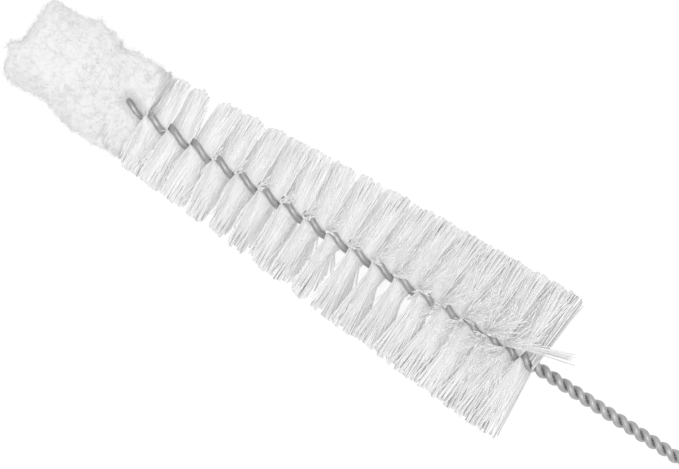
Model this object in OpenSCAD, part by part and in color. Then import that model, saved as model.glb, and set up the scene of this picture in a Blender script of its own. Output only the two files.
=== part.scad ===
/* [Wire] */
// Diameter of the galvanised wire
wire_d = 1.65; // [1.2:0.05:2.1]
// Length of the twisted handle, from the last bristles to the eye
handle_len = 138; // [80:1:220]
// Length of one half turn of the twist in the handle
handle_turn = 3.12; // [2.8:0.02:4]
// Inside diameter of the hanging eye
eye_d = 14; // [10:0.5:24]

/* [Bristle head] */
// Number of tufts, one to each half turn of the twist
tuft_count = 18; // [10:1:24]
// Length of one half turn of the twist in the bristle head
tuft_pitch = 6.47; // [5.8:0.01:7.6]
// Radius that the first tuft, next to the wool, is trimmed to
small_r = 12.6; // [10:0.1:15]
// Radius that the last tuft, next to the handle, is trimmed to
large_r = 20; // [17:0.1:24]
// Thickness of the layer of filaments that the two strands grip
grip_t = 0.4; // [0.3:0.05:0.6]
// How strongly filaments are drawn into two flat wings: 1 leaves them turning evenly with the twist
gather = 3; // [1:0.1:4]
// How much shorter the shortest filaments of a tuft are
tip_uneven = 0.9; // [0:0.1:2]

/* [Wool tip] */
// Length of the wool, along the wire
wool_len = 36; // [28:1:50]
// Radius of the wool at its middle
wool_r = 11.3; // [9:0.1:13]
// How much wider the wool is at its open end
wool_flare = 1.6; // [0:0.1:2.5]
// Depth of the wool beyond the cut ends of the wire
wool_cap = 7; // [5:0.5:12]
// Height of the lumps in the wool
wool_lump = 0.7; // [0:0.1:1]
// How much shorter the wool is where a strand comes up out of it
wool_notch = 6.5; // [4:0.5:8]

/* [Rest] */
// How far the soft tips are pressed flat where the brush lies on them
rest_flat = 0.55; // [0.2:0.05:0.8]

/* [Hidden] */
// Clearance between pieces that touch
slack = 0.02;
// Gap that keeps the two strands of the handle apart
strand_gap = 2 * slack;

// Sides of the wire's section
wire_sides = 6;
// Rings of the wire in a half turn of the bristle head and of the handle
head_rings = 5;
handle_rings = 4;
// Rings of the wire in each straight leg of the eye and in its round
leg_rings = 3;
eye_rings = 15;

// Columns of filaments round a tuft, and tips across one wing
columns = 7;
tips = 5;
// Share of a half turn from a tuft's first column to its last
tuft_share = 0.96;
// Share of their turn that is left to the last filaments, which have no neighbours to lean on
end_turn = 0.6;
// Width of each tuft's upper and lower wing at the tips, as a share of the pitch
upper_widths = [0.6, 0.8, 0.85, 0.85, 0.6, 0.7, 0.8, 0.9, 1, 1, 0.95, 0.95, 1, 1.1, 1.1, 1.1, 1.1, 0.9];
lower_widths = [0.8, 0.9, 0.9, 0.6, 0.75, 0.7, 0.8, 0.8, 0.65, 0.85, 0.9, 0.95, 1.1, 1.1, 1.1, 1.1, 1.1, 0.9];
// How far the tips of each upper and lower wing stand off towards the handle, as a share of the pitch
upper_offsets =
    [-0.05, -0.1, 0.15, 0.15, 0.05, -0.1, -0.15, -0.15, -0.05, 0.15, 0.25, 0.2, 0.15, 0, -0.1, 0, 0, 0];
lower_offsets =
    [0.05, 0, 0.05, 0.05, 0.05, 0, -0.05, -0.1, -0.1, 0.05, -0.05, 0.1, 0.1, 0, 0, 0, 0, 0];
// Share of the pitch that a wing covers before its filaments fan out, and the least that they fan
own_width = 0.6;
least_fan = 0.08;
// Where a wing comes clear of the strands: distance from the axis and slope of its flank,
// for strands that lie along the axis
root_r = 0.8 * wire_d;
root_slope = 0.4;

// Half turns are counted from 0, and tuft number k is centred on half turn k
// Half turns between which the twist tightens, from the head's pitch to the handle's
tight_start = tuft_count - 3;
tight_end = tuft_count + 0.5;
// Half turn at the last column of filaments, and at the start of the eye
turn_last = tuft_count + tuft_share / 2;
turn_eye = tuft_count + round(handle_len / handle_turn);

// Places along the axis, from the closed end of the wool: the first tuft's middle, the two ends of
// the stretch where the twist tightens, and the last tuft's middle
first_step = 0.62;
first_x = wool_len + first_step * tuft_pitch;
tight_start_x = first_x + tuft_pitch * (tight_start - 1);
tight_end_x = tight_start_x + (tuft_pitch + handle_turn) / 2 * (tight_end - tight_start);
last_x = turn_x(tuft_count);
handle_pitch = (handle_len - (tight_end_x - last_x)) / (turn_eye - tight_end);

head_strand_r = (wire_d + grip_t) / 2;
handle_strand_r = (wire_d + strand_gap) / 2;

// The eye: its legs open at the slope of the strands and run tangent into the round
eye_r = (eye_d + wire_d) / 2;
eye_open = atan(PI * handle_strand_r / handle_pitch);
eye_leg = eye_r / tan(eye_open);
eye_arc = 180 + 2 * eye_open;
eye_x = turn_x(turn_eye) + eye_r / sin(eye_open);
overall = eye_x + eye_r + wire_d / 2;

// The trimmed head is a cone that lies on its side
taper = atan((large_r - small_r) / (last_x - first_x));
lift = (small_r - first_x * tan(taper)) * cos(taper) - rest_flat;

// Name of tuft number k, with two digits
function tuft_name(k) = str("bristle_tuft_", k < 10 ? "0" : "", k);

// Place along the axis after a number of half turns
function turn_x(n) =
    n <= tight_start ? first_x + tuft_pitch * (n - 1)
    : n <= tight_end ? tight_start_x + tuft_pitch * (n - tight_start)
        - (tuft_pitch - handle_turn) * pow(n - tight_start, 2) / 2 / (tight_end - tight_start)
    : tight_end_x + handle_pitch * (n - tight_end);

// Length of the half turn at that place
function turn_len(n) =
    n <= tight_start ? tuft_pitch
    : n <= tight_end ? tuft_pitch
        - (tuft_pitch - handle_turn) * (n - tight_start) / (tight_end - tight_start)
    : handle_pitch;

// Radius that the filaments are trimmed to at a place along the axis
function trim_r(x) = small_r + (x - first_x) * tan(taper);

// Distance of a strand's centre from the axis: the strands close up past the last filaments
function strand_r(n) =
    let (t = min(1, max(0, n - turn_last)))
    head_strand_r + (handle_strand_r - head_strand_r) * t * t * (3 - 2 * t);

// Direction across the axis at an angle
function across(a) = [0, cos(a), sin(a)];

// From the brush's own axis to where it lies: tipped onto its cone, pressed flat underneath
function lay(p) = [
    p.x * cos(taper) - p.z * sin(taper) - overall / 2 * cos(taper),
    p.y,
    max(0, p.x * sin(taper) + p.z * cos(taper) + lift)
];

// Unit vector
function unit(v) = v / norm(v);

// Faces of the side of a tube of rings. Where a ring is made of equal outlines, each of `edge` points,
// the diagonals on the far side of an outline mirror the near side's, so that a thin wall stays level.
function tube_faces(rings, sides, edge = 0) = [
    for (i = [0:rings - 2], j = [0:sides - 1], half = [0, 1])
        let (
            a = i * sides + j,
            b = i * sides + (j + 1) % sides,
            far = edge > 0 && 2 * (j % edge) >= edge && (j + 1) % edge > 0
        )
        far
            ? (half == 0 ? [a, a + sides, b] : [b, a + sides, b + sides])
            : (half == 0 ? [a, a + sides, b + sides] : [a, b + sides, b])
];

// Faces of the two flat ends of a tube
function end_faces(rings, sides) = [
    [for (j = [0:sides - 1]) j],
    [for (j = [sides - 1:-1:0]) (rings - 1) * sides + j]
];

// One wire, bent double: out along one strand, round the eye, back along the other
module twisted_wire() {
    turn_first = 1 - (first_x - wool_cap) / tuft_pitch;
    head_steps = round(head_rings * (turn_last - turn_first));
    handle_steps = round(handle_rings * (turn_eye - turn_last));
    turns = concat(
        [for (i = [0:head_steps]) turn_first + (turn_last - turn_first) * i / head_steps],
        [for (i = [1:handle_steps]) turn_last + (turn_eye - turn_last) * i / handle_steps]
    );
    side = turn_eye % 2 == 0 ? -1 : 1;
    round_len = 2 * eye_leg + eye_r * eye_arc * PI / 180;

    // Strand 0 starts on top at every even half turn, and strand 1 faces it
    function strand_point(n, s) = [turn_x(n), 0, 0] + strand_r(n) * across(90 + 180 * (n + s));
    function strand_up(n, s) = (s == 0 ? -1 : 1) * across(90 + 180 * (n + s));
    function eye_point(q) =
        let (
            d = q * round_len,
            a = (d - eye_leg) / eye_r * 180 / PI,
            straight = min(d, round_len - d),
            on_leg = straight < eye_leg,
            b = 90 + eye_open - a
        )
        [
            on_leg ? turn_x(turn_eye) + straight * cos(eye_open) : eye_x + eye_r * cos(b),
            side * (on_leg ? (q < 0.5 ? 1 : -1) * straight * sin(eye_open) : eye_r * sin(b)),
            -side * handle_strand_r * cos(180 * q)
        ];
    eye_steps = concat(
        [for (i = [1:leg_rings - 1]) eye_leg * i / leg_rings],
        [for (i = [0:eye_rings - 1]) eye_leg + (round_len - 2 * eye_leg) * i / (eye_rings - 1)],
        [for (i = [leg_rings - 1:-1:1]) round_len - eye_leg * i / leg_rings]
    ) / round_len;

    path = concat(
        [for (n = turns) [strand_point(n, 0), strand_up(n, 0)]],
        [for (q = eye_steps) [eye_point(q), [0, 0, side]]],
        [for (i = [len(turns) - 1:-1:0]) [strand_point(turns[i], 1), strand_up(turns[i], 1)]]
    );
    count = len(path);

    // Direction of the wire at a ring: the nearer of its two neighbours counts more
    function direction(i) =
        let (
            back = path[i][0] - path[max(0, i - 1)][0],
            ahead = path[min(count - 1, i + 1)][0] - path[i][0]
        )
        i == 0 ? unit(ahead)
        : i == count - 1 ? unit(back)
        : unit(back * norm(ahead) / norm(back) + ahead * norm(back) / norm(ahead));
    points = [for (i = [0:count - 1])
        let (
            along = direction(i),
            up = unit(path[i][1] - (path[i][1] * along) * along),
            out = cross(along, up)
        )
        for (j = [0:wire_sides - 1])
            let (a = 360 * j / wire_sides)
            lay(path[i][0] + wire_d / 2 * (cos(a) * up + sin(a) * out))
    ];
    faces = concat(tube_faces(count, wire_sides), end_faces(count, wire_sides));
    color("silver") polyhedron(points, faces, convexity = 10);
}

// One half turn's filaments: gripped square to the strands, they bend over and fan out in two wings
module bristle_tuft(k) {
    lean = atan(PI * head_strand_r / turn_len(k));
    middle = turn_x(k);
    // Where the twist tightens there is less room to gather
    drawn = 1 + (gather - 1) * (turn_len(k) - handle_turn) / (tuft_pitch - handle_turn);

    // Turn of a column from the middle of its wing, as a share of a quarter turn, where it is gripped
    // and at its tips
    function share(c) = 2 * c / (columns - 1) - 1;
    function grip_turn(c) = tuft_share * sign(share(c)) * pow(abs(share(c)), 1 / drawn);
    function tip_turn(c) =
        pow(tuft_share, drawn) * share(c) * (k == tuft_count && share(c) > 0 ? end_turn : 1);

    // A point beside the strands: out along the wing, and over to its side in the plane square to them
    function grip_point(c, wing, out, over) =
        let (n = k + grip_turn(c) / 2)
        [turn_x(n) - over * sin(lean), 0, 0]
        + out * across(180 * (n + wing)) + over * cos(lean) * across(180 * (n + wing) + 90);
    function tip_point(c, wing, j) =
        let (
            upper = (k + wing) % 2 == 0,
            width = (upper ? upper_widths : lower_widths)[(k - 1) % len(upper_widths)],
            offset = (upper ? upper_offsets : lower_offsets)[(k - 1) % len(upper_offsets)],
            held = min(1, (width - least_fan) / own_width),
            fan = max(least_fan, width - own_width),
            x = middle + held * (turn_x(k + grip_turn(c) / 2) - middle)
                + (offset + fan * (0.5 - j / (tips - 1))) * turn_len(k),
            cut = (c + j) % 2 == 0 ? 0 : tip_uneven
        )
        [x, 0, 0] + (trim_r(x) - cut) * across(180 * (k + wing) + 90 * tip_turn(c));
    function wing_outline(c, wing) =
        let (
            flank_r = root_r / cos(lean),
            flank = grip_t / 2 + root_slope * cos(lean) * flank_r
        )
        concat(
            [grip_point(c, wing, 0, -(grip_t / 2 - slack)), grip_point(c, wing, flank_r, -flank)],
            [for (j = [0:tips - 1]) tip_point(c, wing, j)],
            [grip_point(c, wing, flank_r, flank)]
        );

    points = [for (c = [0:columns - 1], wing = [0, 1]) for (p = wing_outline(c, wing)) lay(p)];

    // Each end isn't flat: a wing's face fans out from whichever of its corners is outermost
    edge = tips + 3;
    sides = 2 * edge;
    last = (columns - 1) * sides;
    function end_face(corner) = [for (wing = [0, 1]) let (root = wing * edge) each concat(
        [[root, root + edge - 1, sides / 2 - root]],
        [for (i = [1:edge - 2]) [root + corner, root + (corner + i) % edge, root + (corner + i + 1) % edge]]
    )];
    faces = concat(
        tube_faces(columns, sides, edge), end_face(1),
        [for (f = end_face(edge - 1)) [last + f[2], last + f[1], last + f[0]]]
    );
    color("white") polyhedron(points, faces, convexity = 10);
}

// The wool: a soft lumpy tuft closed over the cut ends, with the strands running up its middle
module wool_tip() {
    around = 20;
    side_rings = 8;
    bore = (head_strand_r + wire_d / 2 + slack) / cos(180 / around);
    // Depth of the hollow round the strands at the open end, and rounding of the open and closed ends
    dish = 3;
    rim_r = 2.5;
    end_r = 5.5;

    // Half of the outline: the bore, the rim of the open end, the side, and the closed end
    function side_r(x) = wool_r + wool_flare * pow(max(0, 2 * x / wool_len - 1), 1.5);
    side_end = wool_len - rim_r;
    outline = concat(
        [[wool_cap - 1, bore], [wool_len - dish, bore], [wool_len - dish / 2, wool_r / 2]],
        [for (a = [15:35:85]) [side_end + rim_r * cos(a), side_r(side_end) - rim_r * (1 - sin(a))]],
        [for (i = [1:side_rings]) let (x = side_end + (end_r - side_end) * i / side_rings) [x, side_r(x)]],
        [for (a = [115:25:165]) [end_r + end_r * cos(a), wool_r - end_r * (1 - sin(a))]]
    );
    count = len(outline);

    // Each wave of the lumps: crests round the wool, degrees in a millimetre of its length, and start
    waves = [[3, 31, 0], [5, -23, 40], [2, 47, 110]];
    wave_shares = [0.45, 0.32, 0.23];
    function lump(x, a) = wool_lump * [for (w = waves) sin(w.x * a + w.y * x + w.z)] * wave_shares;
    // The open end follows the strands: it reaches further beside them than over them
    strand_side = 25;
    saddle_start = 0.6;
    function saddle(x, a) =
        -wool_notch * pow(sin(a - strand_side), 2) * max(0, x / wool_len - saddle_start) / (1 - saddle_start);
    function wool_point(i, j) =
        let (
            a = -360 * j / around,
            x = outline[i].x,
            r = outline[i].y * (i < 2 ? 1 : 1 + lump(x, a) / wool_r)
        )
        [x + (i == 0 ? 0 : saddle(x, a)), 0, 0] + r * across(a);

    points = [for (i = [0:count - 1], j = [0:around - 1]) lay(wool_point(i, j))];
    faces = concat(tube_faces(count, around), end_faces(count, around));
    color("whitesmoke") polyhedron(points, faces, convexity = 6);
}

twisted_wire();
wool_tip();
for (k = [1:tuft_count]) bristle_tuft(k);
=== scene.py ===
import math

import bpy
import bmesh
import numpy as np
from mathutils import Matrix, Vector


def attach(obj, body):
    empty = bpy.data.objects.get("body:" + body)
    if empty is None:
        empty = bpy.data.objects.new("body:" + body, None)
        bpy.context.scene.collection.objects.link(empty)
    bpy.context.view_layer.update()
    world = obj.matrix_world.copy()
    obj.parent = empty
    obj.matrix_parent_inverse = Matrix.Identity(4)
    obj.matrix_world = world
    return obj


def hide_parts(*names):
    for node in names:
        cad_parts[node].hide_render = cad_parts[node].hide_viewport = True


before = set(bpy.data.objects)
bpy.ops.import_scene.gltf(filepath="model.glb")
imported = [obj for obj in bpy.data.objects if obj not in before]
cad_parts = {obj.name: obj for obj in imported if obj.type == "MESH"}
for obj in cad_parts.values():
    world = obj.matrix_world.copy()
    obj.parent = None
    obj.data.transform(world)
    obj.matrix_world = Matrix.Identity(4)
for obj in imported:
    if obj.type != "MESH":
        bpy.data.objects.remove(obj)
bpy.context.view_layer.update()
print("Frame loaded with", len(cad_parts), "solids")

millimetre = 0.001

# The brush along its own axis, in millimetres. Half turns of the twist are counted from 0,
# and tuft number k is centred on half turn k.
brush = {
    "wireDiameter": 1.65,
    "handleLength": 138,
    "handleTurn": 3.12,
    "eyeDiameter": 14,
    "tuftCount": 18,
    "tuftPitch": 6.47,
    "tuftShare": 0.96,
    "endTurn": 0.6,
    "smallRadius": 12.6,
    "largeRadius": 20,
    "gripThickness": 0.4,
    "woolLength": 36,
    "woolRadius": 11.3,
    "woolCap": 7,
    "restFlat": 0.55,
    "strandGap": 0.04,
    "firstStep": 0.62,
}

tightStart = brush["tuftCount"] - 3
tightEnd = brush["tuftCount"] + 0.5
gripEnd = brush["tuftCount"] + brush["tuftShare"] / 2
eyeTurn = brush["tuftCount"] + round(brush["handleLength"] / brush["handleTurn"])
firstPlace = brush["woolLength"] + brush["firstStep"] * brush["tuftPitch"]
tightStartPlace = firstPlace + brush["tuftPitch"] * (tightStart - 1)
tightEndPlace = tightStartPlace + (brush["tuftPitch"] + brush["handleTurn"]) / 2 * (tightEnd - tightStart)


# How far the tightening has gone at each half turn, from 0 to 1
def tightening(turn):
    return np.clip((np.asarray(turn, float) - tightStart) / (tightEnd - tightStart), 0, 1)


# Place along the axis after a number of half turns, as far as the even twist of the handle
def headPlace(turn):
    turn = np.asarray(turn, float)
    inTight = tightening(turn) * (tightEnd - tightStart)
    slowed = (brush["tuftPitch"] - brush["handleTurn"]) * inTight**2 / 2 / (tightEnd - tightStart)
    return firstPlace + brush["tuftPitch"] * (np.minimum(turn, tightEnd) - 1) - slowed


lastPlace = float(headPlace(brush["tuftCount"]))
handlePitch = (brush["handleLength"] - (tightEndPlace - lastPlace)) / (eyeTurn - tightEnd)


def turnPlace(turn):
    return headPlace(turn) + handlePitch * np.maximum(0, np.asarray(turn, float) - tightEnd)


# Length of the half turn at that place
def turnLength(turn):
    return brush["tuftPitch"] - (brush["tuftPitch"] - brush["handleTurn"]) * tightening(turn)


headStrandRadius = (brush["wireDiameter"] + brush["gripThickness"]) / 2
handleStrandRadius = (brush["wireDiameter"] + brush["strandGap"]) / 2
eyeRadius = (brush["eyeDiameter"] + brush["wireDiameter"]) / 2
eyeOpen = math.atan(math.pi * handleStrandRadius / handlePitch)
eyeLeg = eyeRadius / math.tan(eyeOpen)
eyeStart = float(turnPlace(eyeTurn))
eyeCentre = eyeStart + eyeRadius / math.sin(eyeOpen)
overall = eyeCentre + eyeRadius + brush["wireDiameter"] / 2
taper = math.atan((brush["largeRadius"] - brush["smallRadius"]) / (lastPlace - firstPlace))
lift = (brush["smallRadius"] - firstPlace * math.tan(taper)) * math.cos(taper) - brush["restFlat"]


# Radius that the filaments are trimmed to at a place along the axis
def trimRadius(place):
    return brush["smallRadius"] + (place - firstPlace) * math.tan(taper)


# Direction across the axis at an angle in degrees
def across(angle):
    angle = np.radians(np.asarray(angle, float))
    return np.stack([np.zeros_like(angle), np.cos(angle), np.sin(angle)], -1)


alongBrush = np.array([1, 0, 0])


# From the brush's own axis, in millimetres, to where it lies on its cone, in metres and no lower than
# a floor given in millimetres
def layDown(points, floor=0.0):
    x, y, z = points[..., 0], points[..., 1], points[..., 2]
    lain = np.stack([
        x * math.cos(taper) - z * math.sin(taper) - overall / 2 * math.cos(taper),
        y,
        np.maximum(floor, x * math.sin(taper) + z * math.cos(taper) + lift),
    ], -1)
    return lain * millimetre


def unit(vectors):
    return vectors / np.linalg.norm(vectors, axis=-1, keepdims=True)


def selectOnly(piece):
    bpy.ops.object.select_all(action="DESELECT")
    piece.select_set(True)
    bpy.context.view_layer.objects.active = piece


def applyModifiers(piece):
    selectOnly(piece)
    for modifier in list(piece.modifiers):
        bpy.ops.object.modifier_apply(modifier=modifier.name)


# A filament of unit radius from -1 to 1 along z, with rings for bending
def unitFilament(sides, segments):
    bpy.ops.object.select_all(action="DESELECT")
    bpy.ops.mesh.primitive_cylinder_add(vertices=sides, radius=1, depth=2, end_fill_type="NGON")
    piece = bpy.context.object
    bpy.ops.object.mode_set(mode="EDIT")
    bpy.context.tool_settings.mesh_select_mode = (False, True, False)
    bpy.ops.mesh.select_all(action="DESELECT")
    shape = bmesh.from_edit_mesh(piece.data)
    for edge in shape.edges:
        edge.select_set(edge.verts[0].co.z * edge.verts[1].co.z < 0)
    bmesh.update_edit_mesh(piece.data)
    bpy.ops.mesh.subdivide(number_cuts=segments - 1)
    bpy.ops.object.mode_set(mode="OBJECT")
    for face in piece.data.polygons:
        face.use_smooth = abs(face.normal.z) < 0.5
    return piece


# One mesh of many copies of a filament, each bent along its own path of points in metres. Its tone
# runs from 0, dark, to 1, white, and is one for each path or one for each point.
def bundle(name, filament, paths, radii, tones, sideways):
    mesh = filament.data
    local = np.array([vertex.co for vertex in mesh.vertices])
    rings = paths.shape[1]
    ring = np.rint((local[:, 2] + 1) / 2 * (rings - 1)).astype(int)
    along = unit(np.gradient(paths, axis=1))
    sideOne = unit(sideways[:, None] - along * (along * sideways[:, None]).sum(-1, keepdims=True))
    sideTwo = np.cross(along, sideOne)
    widths = radii[:, ring, None]
    spots = paths[:, ring] + widths * (
        local[:, 0, None] * sideOne[:, ring] + local[:, 1, None] * sideTwo[:, ring])

    count, corners = len(paths), len(mesh.loops)
    loopVertices = np.array([loop.vertex_index for loop in mesh.loops])
    loopStarts = np.array([face.loop_start for face in mesh.polygons])
    smooth = np.array([face.use_smooth for face in mesh.polygons])
    copies = np.arange(count)[:, None]
    made = bpy.data.meshes.new(name)
    made.vertices.add(count * len(local))
    made.loops.add(count * corners)
    made.polygons.add(count * len(loopStarts))
    made.vertices.foreach_set("co", spots.astype(np.float32).ravel())
    made.loops.foreach_set("vertex_index", (loopVertices + copies * len(local)).ravel().astype(np.int32))
    made.polygons.foreach_set("loop_start", (loopStarts + copies * corners).ravel().astype(np.int32))
    made.update(calc_edges=True)
    made.polygons.foreach_set("use_smooth", np.tile(smooth, count))
    tone = made.attributes.new("tone", "FLOAT", "POINT")
    tones = np.broadcast_to(tones.reshape(count, -1), (count, rings))[:, ring]
    tone.data.foreach_set("value", tones.ravel().astype(np.float32))
    made.update()
    piece = bpy.data.objects.new(name, made)
    bpy.context.scene.collection.objects.link(piece)
    return piece


# A value on its way through a material's nodes, so that sums can be written as sums
class NodeValue:
    def __init__(self, painter, socket):
        self.painter = painter
        self.socket = socket

    def maths(self, operation, first, second):
        return self.painter.add("ShaderNodeMath", {"operation": operation}, {0: first, 1: second})

    def __add__(self, other):
        return self.maths("ADD", self, other)

    def __radd__(self, other):
        return self.maths("ADD", other, self)

    def __sub__(self, other):
        return self.maths("SUBTRACT", self, other)

    def __rsub__(self, other):
        return self.maths("SUBTRACT", other, self)

    def __mul__(self, other):
        return self.maths("MULTIPLY", self, other)

    def __rmul__(self, other):
        return self.maths("MULTIPLY", other, self)


# Puts nodes into one material or world and joins them up. A ramp's stops are given as the first, the
# last and then any between.
class Painter:
    def __init__(self, owner):
        self.owner = owner
        self.owner.use_nodes = True
        self.tree = owner.node_tree
        self.tree.nodes.clear()

    def add(self, kind, settings={}, inputs={}, output=0):
        node = self.tree.nodes.new(kind)
        for setting, value in settings.items():
            if setting == "stops":
                ramp = node.color_ramp
                for element, (place, colour) in zip(ramp.elements, value[:2]):
                    element.position, element.color = place, colour
                for place, colour in value[2:]:
                    ramp.elements.new(place).color = colour
            else:
                setattr(node, setting, value)
        for socket, value in inputs.items():
            if isinstance(value, NodeValue):
                self.tree.links.new(value.socket, node.inputs[socket])
            else:
                node.inputs[socket].default_value = value
        return NodeValue(self, node.outputs[output])

    def finish(self, surface, kind="ShaderNodeOutputMaterial"):
        output = self.tree.nodes.new(kind)
        self.tree.links.new(surface.socket, output.inputs["Surface"])
        return self.owner

    # 1 for the rays on which the white background is seen, directly or in gloss and glass
    def seen(self):
        camera, glossy, through = [self.add("ShaderNodeLightPath", output=name) for name in (
            "Is Camera Ray", "Is Glossy Ray", "Is Transmission Ray")]
        return self.add("ShaderNodeMath", {"operation": "MAXIMUM"}, {
            0: camera, 1: self.add("ShaderNodeMath", {"operation": "MAXIMUM"}, {0: glossy, 1: through})})


def grey(level):
    return (level, level, level, 1)


zinc = {
    # The groove grey is painted light: paler than the metal, it lifts the shade in the grooves of the
    # twist
    "paintedGrooveLight": 0.52, "dull": 0.36, "bright": 0.48,
    "metallic": 0.9, "roughness": 0.50, "grain": 0.15,
    "cloud": 900, "speck": 3600, "bump": 0.25, "bumpHeight": 0.04,
}


# Dull zinc: cloudy grey metal with fine specks, painted paler in the grooves of the twist as painted light
# that lifts the shade there
def zincMaterial():
    paint = Painter(bpy.data.materials.new("galvanisedWire"))
    place = paint.add("ShaderNodeTexCoord", output="Object")
    cloud = paint.add("ShaderNodeTexNoise", inputs={"Vector": place, "Scale": zinc["cloud"], "Detail": 3})
    speck = paint.add("ShaderNodeTexNoise", inputs={"Vector": place, "Scale": zinc["speck"], "Detail": 2})
    tone = paint.add("ShaderNodeAttribute", {"attribute_name": "tone"}, output="Fac")
    metal = paint.add("ShaderNodeValToRGB", {
        "stops": [(0.3, grey(zinc["dull"])), (0.7, grey(zinc["bright"]))]}, {"Fac": cloud})
    colour = paint.add("ShaderNodeMix", {"data_type": "RGBA"}, {
        0: tone, 6: grey(zinc["paintedGrooveLight"]), 7: metal}, output=2)
    bump = paint.add("ShaderNodeBump", inputs={
        "Height": speck, "Strength": zinc["bump"], "Distance": zinc["bumpHeight"] * millimetre})
    return paint.finish(paint.add("ShaderNodeBsdfPrincipled", inputs={
        "Base Color": colour, "Metallic": zinc["metallic"],
        "Roughness": zinc["roughness"] + zinc["grain"] * (speck - 0.5), "Normal": bump}))


nylon = {
    # The cut grey is the darkest the tone reaches, at cut tips and in the painted shade of lock lines,
    # strays and sparse filaments
    "cut": 0.4, "dull": 0.985, "bright": 0.995, "dullTone": 0.8,
    "roughness": 0.55, "grain": 0.1, "gloss": 0.2,
}


# White nylon, a little different from filament to filament, darker at random at its cut tips, and darkened
# with painted shade along lines between locks, on strays and on the sparse filaments of the last tuft
def nylonMaterial():
    paint = Painter(bpy.data.materials.new("nylonBristle"))
    tone = paint.add("ShaderNodeAttribute", {"attribute_name": "tone"}, output="Fac")
    colour = paint.add("ShaderNodeValToRGB", {"stops": [
        (0, grey(nylon["cut"])), (1, grey(nylon["bright"])), (nylon["dullTone"], grey(nylon["dull"]))]},
        {"Fac": tone})
    return paint.finish(paint.add("ShaderNodeBsdfPrincipled", inputs={
        "Base Color": colour, "Roughness": nylon["roughness"] + nylon["grain"] * tone,
        "Specular IOR Level": nylon["gloss"]}))


fleece = {
    "shade": 0.83, "light": 0.85,
    "roughness": 0.9, "gloss": 0.15, "sheen": 0.3, "sheenRoughness": 0.6,
    "tangle": 1400, "cloudSize": 6, "bump": 0.35, "bumpHeight": 0.3,
}


# White wool with tangled fibres too fine to model
def woolMaterial():
    paint = Painter(bpy.data.materials.new("wool"))
    place = paint.add("ShaderNodeTexCoord", output="Object")
    tangle = paint.add("ShaderNodeTexNoise", inputs={
        "Vector": place, "Scale": fleece["tangle"], "Detail": 4, "Distortion": 1.5})
    cloud = paint.add("ShaderNodeTexNoise", inputs={
        "Vector": place, "Scale": fleece["tangle"] / fleece["cloudSize"], "Detail": 2})
    colour = paint.add("ShaderNodeValToRGB", {
        "stops": [(0.25, grey(fleece["shade"])), (0.65, grey(fleece["light"]))]},
        {"Fac": tangle * 0.5 + cloud * 0.5})
    bump = paint.add("ShaderNodeBump", inputs={
        "Height": tangle, "Strength": fleece["bump"], "Distance": fleece["bumpHeight"] * millimetre})
    return paint.finish(paint.add("ShaderNodeBsdfPrincipled", inputs={
        "Base Color": colour, "Roughness": fleece["roughness"], "Specular IOR Level": fleece["gloss"],
        "Sheen Weight": fleece["sheen"], "Sheen Roughness": fleece["sheenRoughness"], "Normal": bump}))


floorPaint = {"colour": 0.95, "glow": 0.75, "white": 1.08}


# A floor that takes soft shadows and otherwise looks as white as the background
def floorMaterial():
    paint = Painter(bpy.data.materials.new("paleFloor"))
    diffuse = paint.add("ShaderNodeBsdfDiffuse", inputs={"Color": grey(floorPaint["colour"])})
    glow = paint.add("ShaderNodeEmission", inputs={"Color": grey(1), "Strength": floorPaint["white"]})
    return paint.finish(paint.add("ShaderNodeMixShader", inputs={
        0: paint.seen() * floorPaint["glow"], 1: diffuse, 2: glow}))


# From 0 to 1, softly, as a value goes from one limit to the other
def between(value, low, high):
    share = np.clip((value - low) / (high - low), 0, 1)
    return share * share * (3 - 2 * share)


# The wire. Its groove ends and its outside begins at these distances from the axis, in wire diameters.
wire = {
    "ringsPerTurn": 14, "sideSteps": 4, "legRings": 8, "eyeRings": 64,
    "grooveEnds": 0.55, "outside": 1.08,
    "smoothAngle": 40,
}


# Distance of the strands from the axis, which closes up where the last bristles end
def strandRadius(turn):
    closed = between(turn, gripEnd, gripEnd + 1)
    return headStrandRadius + (handleStrandRadius - headStrandRadius) * closed


def strandPath(turn, strand):
    along = np.stack([turnPlace(turn), 0 * turn, 0 * turn], -1)
    return along + strandRadius(turn)[:, None] * across(90 + 180 * (turn + strand))


# The legs open at the slope of the strands and run tangent into the round
def eyePath():
    side = -1 if eyeTurn % 2 == 0 else 1
    arc = math.pi + 2 * eyeOpen
    roundLength = 2 * eyeLeg + eyeRadius * arc
    leg = eyeLeg * np.arange(1, wire["legRings"]) / wire["legRings"]
    steps = np.concatenate([leg, eyeLeg + eyeRadius * arc * np.linspace(0, 1, wire["eyeRings"]),
                            roundLength - leg[::-1]])
    straight = np.minimum(steps, roundLength - steps)
    onLeg = straight < eyeLeg
    angle = math.pi / 2 + eyeOpen - (steps - eyeLeg) / eyeRadius
    away = np.where(steps < roundLength / 2, 1, -1)
    x = np.where(onLeg, eyeStart + straight * math.cos(eyeOpen), eyeCentre + eyeRadius * np.cos(angle))
    y = side * np.where(onLeg, away * straight * math.sin(eyeOpen), eyeRadius * np.sin(angle))
    z = -side * handleStrandRadius * np.cos(math.pi * steps / roundLength)
    return np.stack([x, y, z], -1)


# How far each point of the wire stands out of the grooves of the twist, from 0 to 1
def standing(points):
    start, ahead = layDown(np.array([[0, 0, 0], [1, 0, 0]]), -1)
    axis = unit(ahead - start)
    past = (points - start) @ axis
    away = np.linalg.norm(points - start - past[:, None] * axis, axis=1) / millimetre
    low, high = wire["grooveEnds"], wire["outside"]
    out = np.clip((away / brush["wireDiameter"] - low) / (high - low), 0, 1)
    return np.where(past / millimetre > eyeStart, 1, out)


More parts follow.
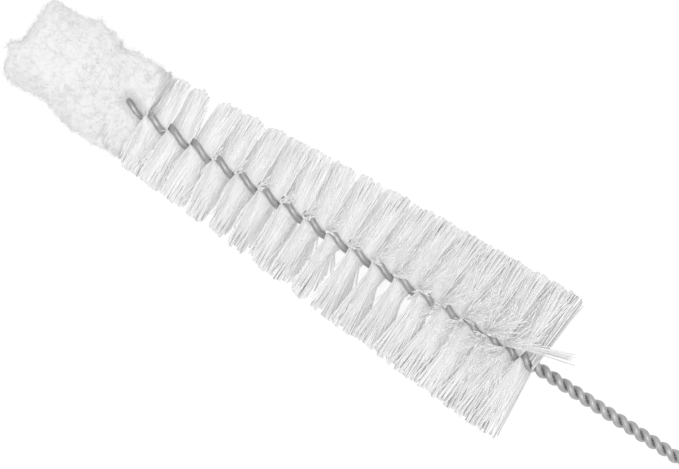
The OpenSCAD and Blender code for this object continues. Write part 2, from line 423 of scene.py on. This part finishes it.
def makeWire():
    start = 1 - (firstPlace - brush["woolCap"]) / brush["tuftPitch"]
    turns = np.linspace(start, eyeTurn, round(wire["ringsPerTurn"] * (eyeTurn - start)))
    path = np.concatenate([strandPath(turns, 0), eyePath(), strandPath(turns[::-1], 1)])
    points = layDown(path)
    curve = bpy.data.curves.new("wireLine", "CURVE")
    curve.dimensions = "3D"
    spline = curve.splines.new("POLY")
    spline.points.add(len(points) - 1)
    spline.points.foreach_set("co", np.concatenate([points, np.ones((len(points), 1))], 1).ravel())
    curve.bevel_depth = brush["wireDiameter"] / 2 * millimetre
    curve.bevel_resolution = wire["sideSteps"]
    curve.use_fill_caps = True
    piece = bpy.data.objects.new("twistedWire", curve)
    bpy.context.scene.collection.objects.link(piece)
    selectOnly(piece)
    bpy.ops.object.convert(target="MESH")
    piece = bpy.context.object
    bpy.ops.object.shade_smooth_by_angle(angle=math.radians(wire["smoothAngle"]))
    spots = np.array([vertex.co for vertex in piece.data.vertices])
    # The tone marks the grooves of the twist, where the zinc paints a paler grey as painted light against
    # their shade
    tone = piece.data.attributes.new("tone", "FLOAT", "POINT")
    tone.data.foreach_set("value", standing(spots).astype(np.float32))
    piece.data.materials.clear()
    piece.data.materials.append(zincMaterial())
    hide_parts("twisted_wire")
    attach(piece, "root")
    print("Wire made with", len(piece.data.polygons), "faces")


# The bristles. What has two lists has one for the upper and one for the lower wings, each from the wool
# to the handle. Widths at the tips, the offsets of the tips towards the handle and the waists between
# roots and tips are shares of the pitch. Lengths are in millimetres and angles in degrees.
bristles = {
    "seed": 11,
    "diameter": 0.24, "sides": 4,
    "perTuft": 420, "crowding": 1.1, "layer": 0.35,
    "tone": [0.8, 1],
    # The wings
    "widths": [[0.6, 0.82, 1.03, 1, 0.9, 0.98, 1, 1.06, 1.1,
                1.2, 1.1, 1.1, 1.15, 1.2, 1.2, 1.2, 1.2, 0.9],
               [0.8, 1.1, 1.15, 0.68, 0.64, 0.68, 0.84, 0.85, 0.6,
                1.05, 1.2, 1.25, 1.3, 1.3, 1.3, 1.3, 1.2, 0.9]],
    "offsets": [[-0.05, -0.2, 0.1, 0.03, 0.03, -0.12, -0.22, -0.2, -0.1,
                 0.05, 0.15, 0.15, 0.1, 0, -0.1, 0, 0, 0],
                [0.08, 0, 0, 0.06, 0.05, -0.03, 0, -0.11, -0.15,
                 0.08, 0, 0.05, 0.05, 0, 0, 0, 0, 0]],
    "waists": [[0, 0, -0.1, -0.1, -0.1, -0.1, -0.1, -0.1, -0.1,
                -0.1, -0.1, -0.1, -0.1, -0.1, -0.1, -0.1, 0, 0],
               [0, 0, 0, 0, 0, 0.25, 0.2, 0.4, 0.85,
                0.65, 0.75, 0.65, 0.5, 0.3, 0.25, 0.2, 0.1, 0]],
    "waistNear": 0.25,
    "longer": [[0.1, 0.5, 0.9, 0.6, 0.2], [0.8, 0.8, 0.9, 0.7, 0.5]],
    "ownWidth": 0.7, "leastFan": 0.08, "calm": 3,
    "gather": [[3.4, 3.4], [3.6, 7]], "firstGather": 10,
    "rootReach": 1.9, "bend": 0.02,
    # How far filaments stray from their wing. Their lean grows between two tufts.
    "leanTufts": [11, 14], "lean": [1.0, 3.0], "looseness": 3.0,
    "looseShare": 0.03, "loose": 6,
    # The locks that they cling together in, pulled along and across, and how unevenly they are cut
    "comb": 1.1, "combBlur": 0.1, "combPull": [0.5, 0.25], "combCut": [0.4, 0.5],
    "edgeCut": 0.7, "edgeFrom": 0.75,
    "uneven": 0.15, "shortShare": 0.05, "short": 2.0,
    # Painted shade in lines between locks, darkest towards the tips, and dark cut tips
    "paintedShadeLineShare": 0.13, "paintedShadeLines": [[0.5, 0.9], [1, 0.9]], "paintedShadeFade": [1, 0.8, 0.1, 0, 0, 0],
    "cut": 0.3,
    # Filaments that splay over the next strand: on which tufts of each side, and from the first of those
    # tufts to the last their share, how far they lean over and which way
    "whiskerTufts": [[3, 16], [13, 17]], "whiskerShare": [0.05, 0.17],
    "whiskerReach": [[1.2, 4.0], [3, 16]], "whiskerAside": [[-10, 80], [15, 112]],
    "whiskerLow": 0.3, "whiskerLength": [0.85, 1],
    # A bunch of strays from one wing, with the mean and spread of the angles that they slant at, and the
    # painted shade that darkens them and the sparse filaments of the last tuft
    "strayTuft": 16, "strayTurn": 0.36, "strays": 34, "strayLength": [16.8, 19.8],
    "strayAside": [20, 2.6], "strayUp": [27, 2.0], "paintedStrayShade": 0.8,
    # The sparse far edge of the last tuft
    "endFrom": 0.2, "endShare": 0.14, "endSlip": 0.35, "endLean": 1.3, "endSteady": 0.2,
}
# The gripped end of the wool is one more tuft, of finer fibres
woolEnd = {
    **bristles,
    "diameter": 0.1, "sides": 3,
    "perTuft": 1300, "crowding": 1.0,
    "widths": [[1.0], [1.05]], "offsets": [[0.1], [0.15]], "waists": [[0], [0]], "waistNear": 1,
    "longer": [[0], [0]],
    "leastFan": 0.3, "gather": [[25, 25], [25, 25]], "bend": 0.05,
    "lean": [2, 2], "looseness": 7, "loose": 8,
    "comb": 0.9, "combPull": [0.35, 0.25], "combCut": [0.4, 0.4],
    "edgeCut": 0.8, "uneven": 0.3, "shortShare": 0.3, "short": 4.0,
}

# Points of a filament from its tip to its root: their shares of its length, its bend and its waist
filamentPoints = [(1, 0, 0), (0.93, 0.05, 0.1), (0.62, 0.2, 0.55), (0.26, 0.15, 1), (0, 0, 0.2)]


# A value, or a list of them, on its way from the first to the second as a count goes between limits
def partWay(count, limits, values):
    share = np.clip((count - limits[0]) / (limits[1] - limits[0]), 0, 1)
    first, second = np.array(values)
    return first + share * (second - first)


# Mean over each filament's lock
def lockMean(lock, values):
    return (np.bincount(lock, values) / np.maximum(1, np.bincount(lock)))[lock]


# The filaments that one half turn grips, in order along the wire. Spread goes from -1 to 1 over them.
class Tuft:
    def __init__(self, number, kind, random):
        self.number, self.kind, self.random = number, kind, random
        spread = random.uniform(-1, 1, kind["perTuft"])
        spread = np.sort(np.sign(spread) * np.abs(spread) ** kind["crowding"])
        if number == brush["tuftCount"]:
            spread = spread[(spread < kind["endFrom"]) | (random.random(len(spread)) < kind["endShare"])]
        self.spread, self.count = spread, len(spread)
        self.last = (number == brush["tuftCount"]) & (spread > 0)
        self.steady = np.where(self.last, kind["endSteady"], 1)
        slip = np.where(self.last, kind["endSlip"] * spread, 0)
        self.turn = number + brush["tuftShare"] * spread / 2 + slip
        self.place = turnPlace(self.turn)
        self.centre, self.pitch = turnPlace(number), turnLength(number)
        layer = random.uniform(-kind["layer"], kind["layer"], self.count) * brush["gripThickness"]
        self.middle = self.place[:, None] * alongBrush + layer[:, None] * across(180 * self.turn + 90)

    # This tuft's own value from a long list
    def own(self, name, side):
        values = self.kind[name][side]
        return values[(self.number - 1) % len(values)]

    # This tuft's value part way between those of the first and the last
    def ranged(self, name, side):
        return partWay(self.number, [1, brush["tuftCount"]], self.kind[name][side])

    # Which way the filaments stand out, and where their tips are along the brush
    def standOut(self, wing, side):
        kind, random = self.kind, self.random
        drawn = kind["firstGather"] if self.number == 1 else self.ranged("gather", side)
        gathered = np.sign(self.spread) * np.abs(brush["tuftShare"] * self.spread) ** drawn / 2
        gathered = np.where(self.last, brush["endTurn"], 1) * gathered
        loose = np.where(random.random(self.count) < kind["looseShare"], kind["loose"], 0)
        stray = self.steady * random.normal(0, kind["looseness"] + loose)
        outward = across(180 * (self.number + wing + gathered) + stray)
        calm = np.cos(math.pi * gathered) ** kind["calm"]
        held = 1 - calm * (1 - (self.own("widths", side) - kind["leastFan"]) / kind["ownWidth"])
        offset = self.own("offsets", side) * self.pitch
        tips = self.centre + held * (self.place - self.centre) + calm * offset
        tips += kind["leastFan"] * self.pitch * random.uniform(-0.5, 0.5, self.count)
        tips += np.where(self.last, kind["endLean"] * self.spread, 0)
        lean = self.steady * partWay(self.number, kind["leanTufts"], kind["lean"])
        reach = trimRadius(self.place)
        tips += reach * np.tan(np.radians(random.normal(0, lean)))
        tips += self.steady * random.normal(0, 1, self.count) * reach * np.tan(np.radians(loose))
        return outward, tips

    # Each filament's lock, and how dark the painted shade line beside it is
    def combLocks(self, tips, side):
        lock = tips / self.kind["comb"] + self.random.normal(0, self.kind["combBlur"], self.count)
        paintedShadeLine = (lock % 1 < self.kind["paintedShadeLineShare"]) * self.ranged("paintedShadeLines", side)
        lock = np.floor(lock).astype(int)
        return lock - lock.min(), paintedShadeLine

    # How much shorter than the cone the filaments are cut, most at the edges of the wing
    def cutShort(self, tips, lock, side):
        kind, random, locks = self.kind, self.random, lock.max() + 1
        cut = np.abs(random.normal(0, kind["uneven"], self.count))
        short = random.random(self.count) < kind["shortShare"]
        cut += np.where(short, random.uniform(0, kind["short"], self.count), 0)
        cut += np.abs(random.normal(0, kind["combCut"][side], locks))[lock]
        away = np.abs(tips - self.centre - self.own("offsets", side) * self.pitch)
        away = away / (self.own("widths", side) * self.pitch / 2)
        edge = np.clip((away - kind["edgeFrom"]) / (1 - kind["edgeFrom"]), 0, 1)
        return cut + kind["edgeCut"] * edge * random.random(locks)[lock]

    # The filaments beside the next strand stand up out of the twist and splay over it
    def splay(self, ends, side):
        kind, random = self.kind, self.random
        share, reach, aside = [partWay(self.number, kind["whiskerTufts"][side], kind[name])
                               for name in ("whiskerShare", "whiskerReach", "whiskerAside")]
        onward = 1 - 2 * side
        aside = np.radians(random.uniform(*aside, self.count))
        reach = random.uniform(*reach, self.count) * np.maximum(kind["whiskerLow"], np.sin(aside))
        length = trimRadius(self.place) * random.uniform(*kind["whiskerLength"], self.count)
        sprung = np.stack([self.place + onward * reach * np.cos(aside), onward * reach * np.sin(aside),
                           np.sqrt(length**2 - reach**2)], -1)
        return np.where((onward * self.spread > 1 - 2 * share)[:, None], sprung, ends)

    # One wing's points, from the tips to the middle of the grip, and their tones
    def wingPaths(self, wing):
        kind, random, side = self.kind, self.random, (self.number + wing) % 2
        outward, tips = self.standOut(wing, side)
        lock, paintedShadeLine = self.combLocks(tips, side)
        cut = self.cutShort(tips, lock, side)
        pullAlong, pullAcross = kind["combPull"]
        tips += pullAlong * (lockMean(lock, tips) - tips)
        for axis in (1, 2):
            outward[:, axis] += pullAcross * (lockMean(lock, outward[:, axis]) - outward[:, axis])
        longer = kind["longer"][side]
        longer = np.interp(self.number, np.linspace(1, brush["tuftCount"], len(longer)), longer)
        ends = tips[:, None] * alongBrush + (trimRadius(tips) + longer - cut)[:, None] * unit(outward)
        first, last = kind["whiskerTufts"][side]
        if first <= self.number <= last:
            ends = self.splay(ends, side)
        root = self.middle + kind["rootReach"] * across(180 * (self.turn + wing))
        straight = ends - root
        lengths = np.linalg.norm(straight, axis=1, keepdims=True)
        bent = lengths * random.normal(0, kind["bend"], (self.count, 3))
        waist = self.own("waists", side) * np.where(self.spread > 0, 1, kind["waistNear"])
        drawnIn = (waist * (self.centre - self.place))[:, None] * alongBrush
        points = [root + length * straight - bend * bent + inward * drawnIn
                  for length, bend, inward in filamentPoints]
        # Painted shade: filaments along the lines between locks are darkened, most towards their tips
        paintedShadeLine = paintedShadeLine * random.random(lock.max() + 1)[lock]
        dark = paintedShadeLine[:, None] * kind["paintedShadeFade"]
        dark[:, 0] = np.maximum(dark[:, 0], kind["cut"] * random.random(self.count))
        # Painted shade: the sparse filaments of the last tuft are darkened at random along their whole
        # length
        paintedSparseShade = np.where(self.last, kind["paintedStrayShade"] * random.random(self.count) ** 2, 0)
        return np.stack(points + [self.middle], 1), (1 - dark) * (1 - paintedSparseShade[:, None])

    # Points and tones from the tips of one wing to those of the other
    def paths(self):
        wings = zip(self.wingPaths(0), self.wingPaths(1))
        return [np.concatenate([after, before[:, -2::-1]], 1) for before, after in wings]


# A few filaments near the handle have sprung out of their wing and lie slanting over the others
def springStrays(paths, tones, random):
    middle = paths.shape[1] // 2
    turn = bristles["strayTuft"] + bristles["strayTurn"]
    chosen = np.argsort(np.abs(paths[:, middle, 0] - turnPlace(turn)))[:bristles["strays"]]
    aside, up = [np.radians(random.normal(*bristles[name], len(chosen)))
                 for name in ("strayAside", "strayUp")]
    outward = np.stack([np.cos(up) * np.cos(aside), np.cos(up) * np.sin(aside), np.sin(up)], -1)
    straight = random.uniform(*bristles["strayLength"], len(chosen))[:, None] * outward
    for point, (length, _, _) in enumerate(filamentPoints[-2::-1], middle + 2):
        paths[chosen, point] = paths[chosen, middle + 1] + length * straight
    # Painted shade: the strays are darkened at random along their length
    tones[chosen, middle:] = 1 - bristles["paintedStrayShade"] * random.random((len(chosen), 1)) ** 2


# All filaments of a tuft as one piece
def bundleTuft(name, paths, tones, kind):
    filament = unitFilament(kind["sides"], 2 * len(filamentPoints))
    radii = np.full(paths.shape[:2], kind["diameter"] / 2 * millimetre)
    sideways = np.tile([math.cos(taper), 0, math.sin(taper)], (len(paths), 1))
    piece = bundle(name, filament, paths, radii, tones, sideways)
    bpy.data.objects.remove(filament)
    return piece


def makeBristles():
    random = np.random.default_rng(bristles["seed"])
    material = nylonMaterial()
    for number in range(1, brush["tuftCount"] + 1):
        paths, tones = Tuft(number, bristles, random).paths()
        if number == bristles["strayTuft"]:
            springStrays(paths, tones, random)
        tones = tones * random.uniform(*bristles["tone"], (len(paths), 1))
        lain = layDown(paths, bristles["diameter"] / 2)
        piece = bundleTuft(f"bristleTuft{number:02d}", lain, tones, bristles)
        piece.data.materials.append(material)
        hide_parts(f"bristle_tuft_{number:02d}")
        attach(piece, "root")
    print("Bristles made:", brush["tuftCount"], "tufts")


# The wool. Its edges are half widths at places along it, on its upper and its lower side.
wool = {
    "seed": 5,
    "levels": 3,
    "lumpSize": 4.5, "lumpHeight": 0.8,
    "curlSize": 1.3, "curlHeight": 0.18,
    "flare": 1.6, "ownRounding": 5.5, "rounding": 1.8,
    "saddle": 6.5, "saddleFrom": 0.6, "saddleSide": 25,
    "edges": [[[2, 12.0], [12.6, 11.8], [15, 12.5], [16, 13.0], [17.7, 12.5], [19.9, 13.1], [22.5, 12.2],
               [23.2, 10.7], [25.3, 11.3], [32.5, 12.0], [36, 12.2]],
              [[2, 10.8], [8.7, 10.3], [14.2, 10.0], [20, 11.3], [27.5, 12.8], [32, 12.1], [36, 12.9]]],
    "endEdge": [[-11, 4.0], [-8.2, 2.2], [-5, 2.1], [-3.1, 0.4],
                [-1.5, 2.3], [0, 3.1], [10, 3.2], [12, 4.2]],
    "endReach": 9,
    "openFrom": 27, "openReach": 1.8,
    "flatFrom": 19, "flatTo": 34, "flatShare": 0.3,
    "troughFrom": 29, "troughTo": 31, "troughShare": 0.1, "troughWidth": 3.2,
    "fibres": 5200,
    "fibreDiameter": 0.07,
    "fibreLength": [1.4, 3.15],
    "fibreSegments": 5,
    "fibreCurl": [0.2, 0.6], "fibreTurns": [0.5, 1.2], "fibreBob": 0.4,
    "freeShare": 0.25, "freeRise": [0.2, 1.4],
    "caughtRise": 0.3, "fibreRoot": 0.15,
    "fibreLift": 0.05,
}


# From where the brush lies, in metres, back to its own axis, in millimetres
def liftUp(spots):
    x = spots[..., 0] / millimetre + overall / 2 * math.cos(taper)
    z = spots[..., 2] / millimetre - lift
    return np.stack([x * math.cos(taper) + z * math.sin(taper), spots[..., 1] / millimetre,
                     z * math.cos(taper) - x * math.sin(taper)], -1)


# Half width of the wool along its length, with its closed end rounded off
def woolSide(x, rounding):
    flare = wool["flare"] * np.clip(2 * x / brush["woolLength"] - 1, 0, 1) ** 1.5
    return brush["woolRadius"] + flare - rounding * (1 - np.sqrt(1 - np.clip(1 - x / rounding, 0, 1) ** 2))


# Brings the wool to its edges: squarer at its closed end, flattened at its open end, where it comes
# as far as the bristles and the first strand lies in a trough
def shapeWool(points):
    x, y, z = points.T
    start = wool["saddleFrom"] * brush["woolLength"]
    above = np.sin(np.arctan2(z, y) - math.radians(wool["saddleSide"])) ** 2
    drawn = wool["saddle"] * above / (brush["woolLength"] - start)
    x = x + np.maximum(0, x - start) * drawn / (1 - drawn)
    upper, lower = [np.interp(x, *zip(*edge)) for edge in wool["edges"]]
    square = woolSide(x, wool["rounding"]) / woolSide(x, wool["ownRounding"])
    shaped = y * square * np.where(y > 0, upper, lower) / woolSide(x, wool["rounding"])
    shaped *= np.clip(woolSide(x, wool["rounding"]) / brush["woolRadius"], 0, 1)
    flat = 1 - (1 - wool["flatShare"]) * between(x, wool["flatFrom"], wool["flatTo"])
    strand = -headStrandRadius * np.sin(math.pi * (x - turnPlace(0)) / brush["tuftPitch"])
    trough = between(x, wool["troughFrom"], wool["troughTo"])
    trough *= (z > 0) * (1 - between(np.abs(shaped - strand), 0, wool["troughWidth"]))
    flat *= 1 - (1 - wool["troughShare"]) * trough
    x = x + wool["openReach"] * between(x, wool["openFrom"], brush["woolLength"])
    inset = np.interp(shaped, *zip(*wool["endEdge"])) * np.clip(1 - x / wool["endReach"], 0, 1) ** 1.5
    return np.stack([x + inset, shaped, z * flat], -1)


def makeWoolBody():
    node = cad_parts["wool_tip"]
    piece = node.copy()
    piece.data = node.data.copy()
    for key in list(piece.keys()):  # the copy is no node of the frame
        del piece[key]
    piece.parent = None
    piece.name = "woolTip"
    bpy.context.scene.collection.objects.link(piece)
    selectOnly(piece)
    bpy.ops.object.mode_set(mode="EDIT")
    bpy.ops.mesh.select_all(action="SELECT")
    bpy.ops.mesh.remove_doubles(threshold=0.01 * millimetre)
    bpy.ops.object.mode_set(mode="OBJECT")
    smooth = piece.modifiers.new("smooth", "SUBSURF")
    smooth.levels = smooth.render_levels = wool["levels"]
    for name in ("lump", "curl"):
        clouds = bpy.data.textures.new(name, "CLOUDS")
        clouds.noise_scale = wool[name + "Size"] * millimetre
        clouds.noise_depth = 2
        swell = piece.modifiers.new(name, "DISPLACE")
        swell.texture = clouds
        swell.texture_coords = "LOCAL"
        swell.strength = wool[name + "Height"] * millimetre
        swell.mid_level = 0.5
    applyModifiers(piece)
    bpy.ops.object.shade_smooth()
    spots = np.array([vertex.co for vertex in piece.data.vertices])
    for vertex, spot in zip(piece.data.vertices, layDown(shapeWool(liftUp(spots)))):
        vertex.co = spot
    return piece


# Loose fibres that lie curled over the wool, some caught at both ends and some free at one
def makeWoolFibres(body):
    random = np.random.default_rng(wool["seed"])
    mesh = body.data
    mesh.calc_loop_triangles()
    corners = np.array([vertex.co for vertex in mesh.vertices])[
        np.array([triangle.vertices for triangle in mesh.loop_triangles])]
    normals = np.cross(corners[:, 1] - corners[:, 0], corners[:, 2] - corners[:, 0])
    areas = np.linalg.norm(normals, axis=1) / 2
    count = wool["fibres"]
    chosen = random.choice(len(areas), count, p=areas / areas.sum())
    weights = random.dirichlet([1, 1, 1], count)
    root = (corners[chosen] * weights[:, :, None]).sum(1) / millimetre
    normal = unit(normals[chosen])
    aside = unit(np.cross(normal, unit(random.normal(size=(count, 3)))))
    other = np.cross(normal, aside)
    length = random.uniform(*wool["fibreLength"], count)[:, None]
    phase = random.uniform(0, 2 * math.pi, count)[:, None]
    curl = random.uniform(*wool["fibreCurl"], count)[:, None]
    turns = random.uniform(*wool["fibreTurns"], count)[:, None]
    free = random.random(count)[:, None] < wool["freeShare"]
    rise = random.uniform(*wool["freeRise"], count)[:, None]
    steps = np.linspace(0, 1, wool["fibreSegments"] + 1)
    height = np.where(free, rise * steps, wool["caughtRise"] * np.sin(math.pi * steps)) - wool["fibreRoot"]
    sway = curl * (np.sin(2 * math.pi * turns * steps + phase) - np.sin(phase))
    bob = wool["fibreBob"] * curl * (np.cos(2 * math.pi * turns * steps + phase) - np.cos(phase))
    paths = (root[:, None] + normal[:, None] * (height + bob)[..., None]
             + aside[:, None] * (length * steps)[..., None] + other[:, None] * sway[..., None])
    paths[..., 2] = np.maximum(paths[..., 2], wool["fibreLift"])
    filament = unitFilament(3, wool["fibreSegments"])
    radii = np.full(paths.shape[:2], wool["fibreDiameter"] / 2 * millimetre)
    piece = bundle("woolFibres", filament, paths * millimetre, radii, random.random(count), normal)
    bpy.data.objects.remove(filament)
    return piece


def makeWoolEnd():
    random = np.random.default_rng(wool["seed"])
    paths = layDown(Tuft(0, woolEnd, random).paths()[0], woolEnd["diameter"] / 2)
    return bundleTuft("woolEnd", paths, random.random(len(paths)), woolEnd)


def makeWool():
    body = makeWoolBody()
    fibres = makeWoolFibres(body)
    end = makeWoolEnd()
    material = woolMaterial()
    for piece in (body, fibres, end):
        piece.data.materials.clear()
        piece.data.materials.append(material)
        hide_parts("wool_tip")
        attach(piece, "root")
    print("Wool made with", len(body.data.polygons), "faces and", wool["fibres"], "fibres")


# The studio
studio = {
    "lens": 265, "sensor": 36, "distance": 1.2,
    "aim": [91.6, 1.25, 0], "roll": 32.73, "bounces": 32,
    "world": 0.84, "key": 4.3, "keySize": 0.4, "keyPlace": [-0.12, 0, 1.24],
    "floorSize": 6,
}
aim = np.array(studio["aim"], float)


# The camera looks square at the brush, down on the side away from the floor
def makeCamera():
    data = bpy.data.cameras.new("camera")
    data.lens, data.sensor_width = studio["lens"], studio["sensor"]
    data.clip_end = 20
    camera = bpy.data.objects.new("camera", data)
    bpy.context.scene.collection.objects.link(camera)
    roll = math.radians(studio["roll"])
    back = Vector((-math.sin(taper), 0, math.cos(taper)))
    along = Vector((math.cos(taper), 0, math.sin(taper)))
    aside = back.cross(along)
    right = math.cos(roll) * along + math.sin(roll) * aside
    up = math.cos(roll) * aside - math.sin(roll) * along
    turned = Matrix((right, up, back)).transposed().to_4x4()
    camera.matrix_world = Matrix.Translation(Vector(layDown(aim)) + studio["distance"] * back) @ turned
    bpy.context.scene.camera = camera


def makeLights():
    bpy.context.scene.view_settings.view_transform = "Standard"
    bpy.context.scene.cycles.max_bounces = studio["bounces"]
    bpy.context.scene.cycles.diffuse_bounces = studio["bounces"]
    bpy.context.scene.cycles.glossy_bounces = studio["bounces"]
    paint = Painter(bpy.data.worlds.new("world"))
    light = paint.add("ShaderNodeBackground", inputs={"Color": grey(1), "Strength": studio["world"]})
    white = paint.add("ShaderNodeBackground", inputs={"Color": grey(1), "Strength": 1})
    bpy.context.scene.world = paint.finish(paint.add("ShaderNodeMixShader", inputs={
        0: paint.seen(), 1: light, 2: white}), "ShaderNodeOutputWorld")
    data = bpy.data.lights.new("key", "AREA")
    data.energy, data.size = studio["key"], studio["keySize"]
    lamp = bpy.data.objects.new("key", data)
    bpy.context.scene.collection.objects.link(lamp)
    lamp.location = studio["keyPlace"]
    lamp.rotation_euler = (Vector(layDown(aim)) - lamp.location).to_track_quat("-Z", "Y").to_euler()


def makeFloor():
    bpy.ops.object.select_all(action="DESELECT")
    bpy.ops.mesh.primitive_plane_add(size=studio["floorSize"])
    floor = bpy.context.object
    floor.name = "floor"
    floor.data.materials.append(floorMaterial())


makeCamera()
makeLights()
makeFloor()
makeWire()
makeBristles()
makeWool()
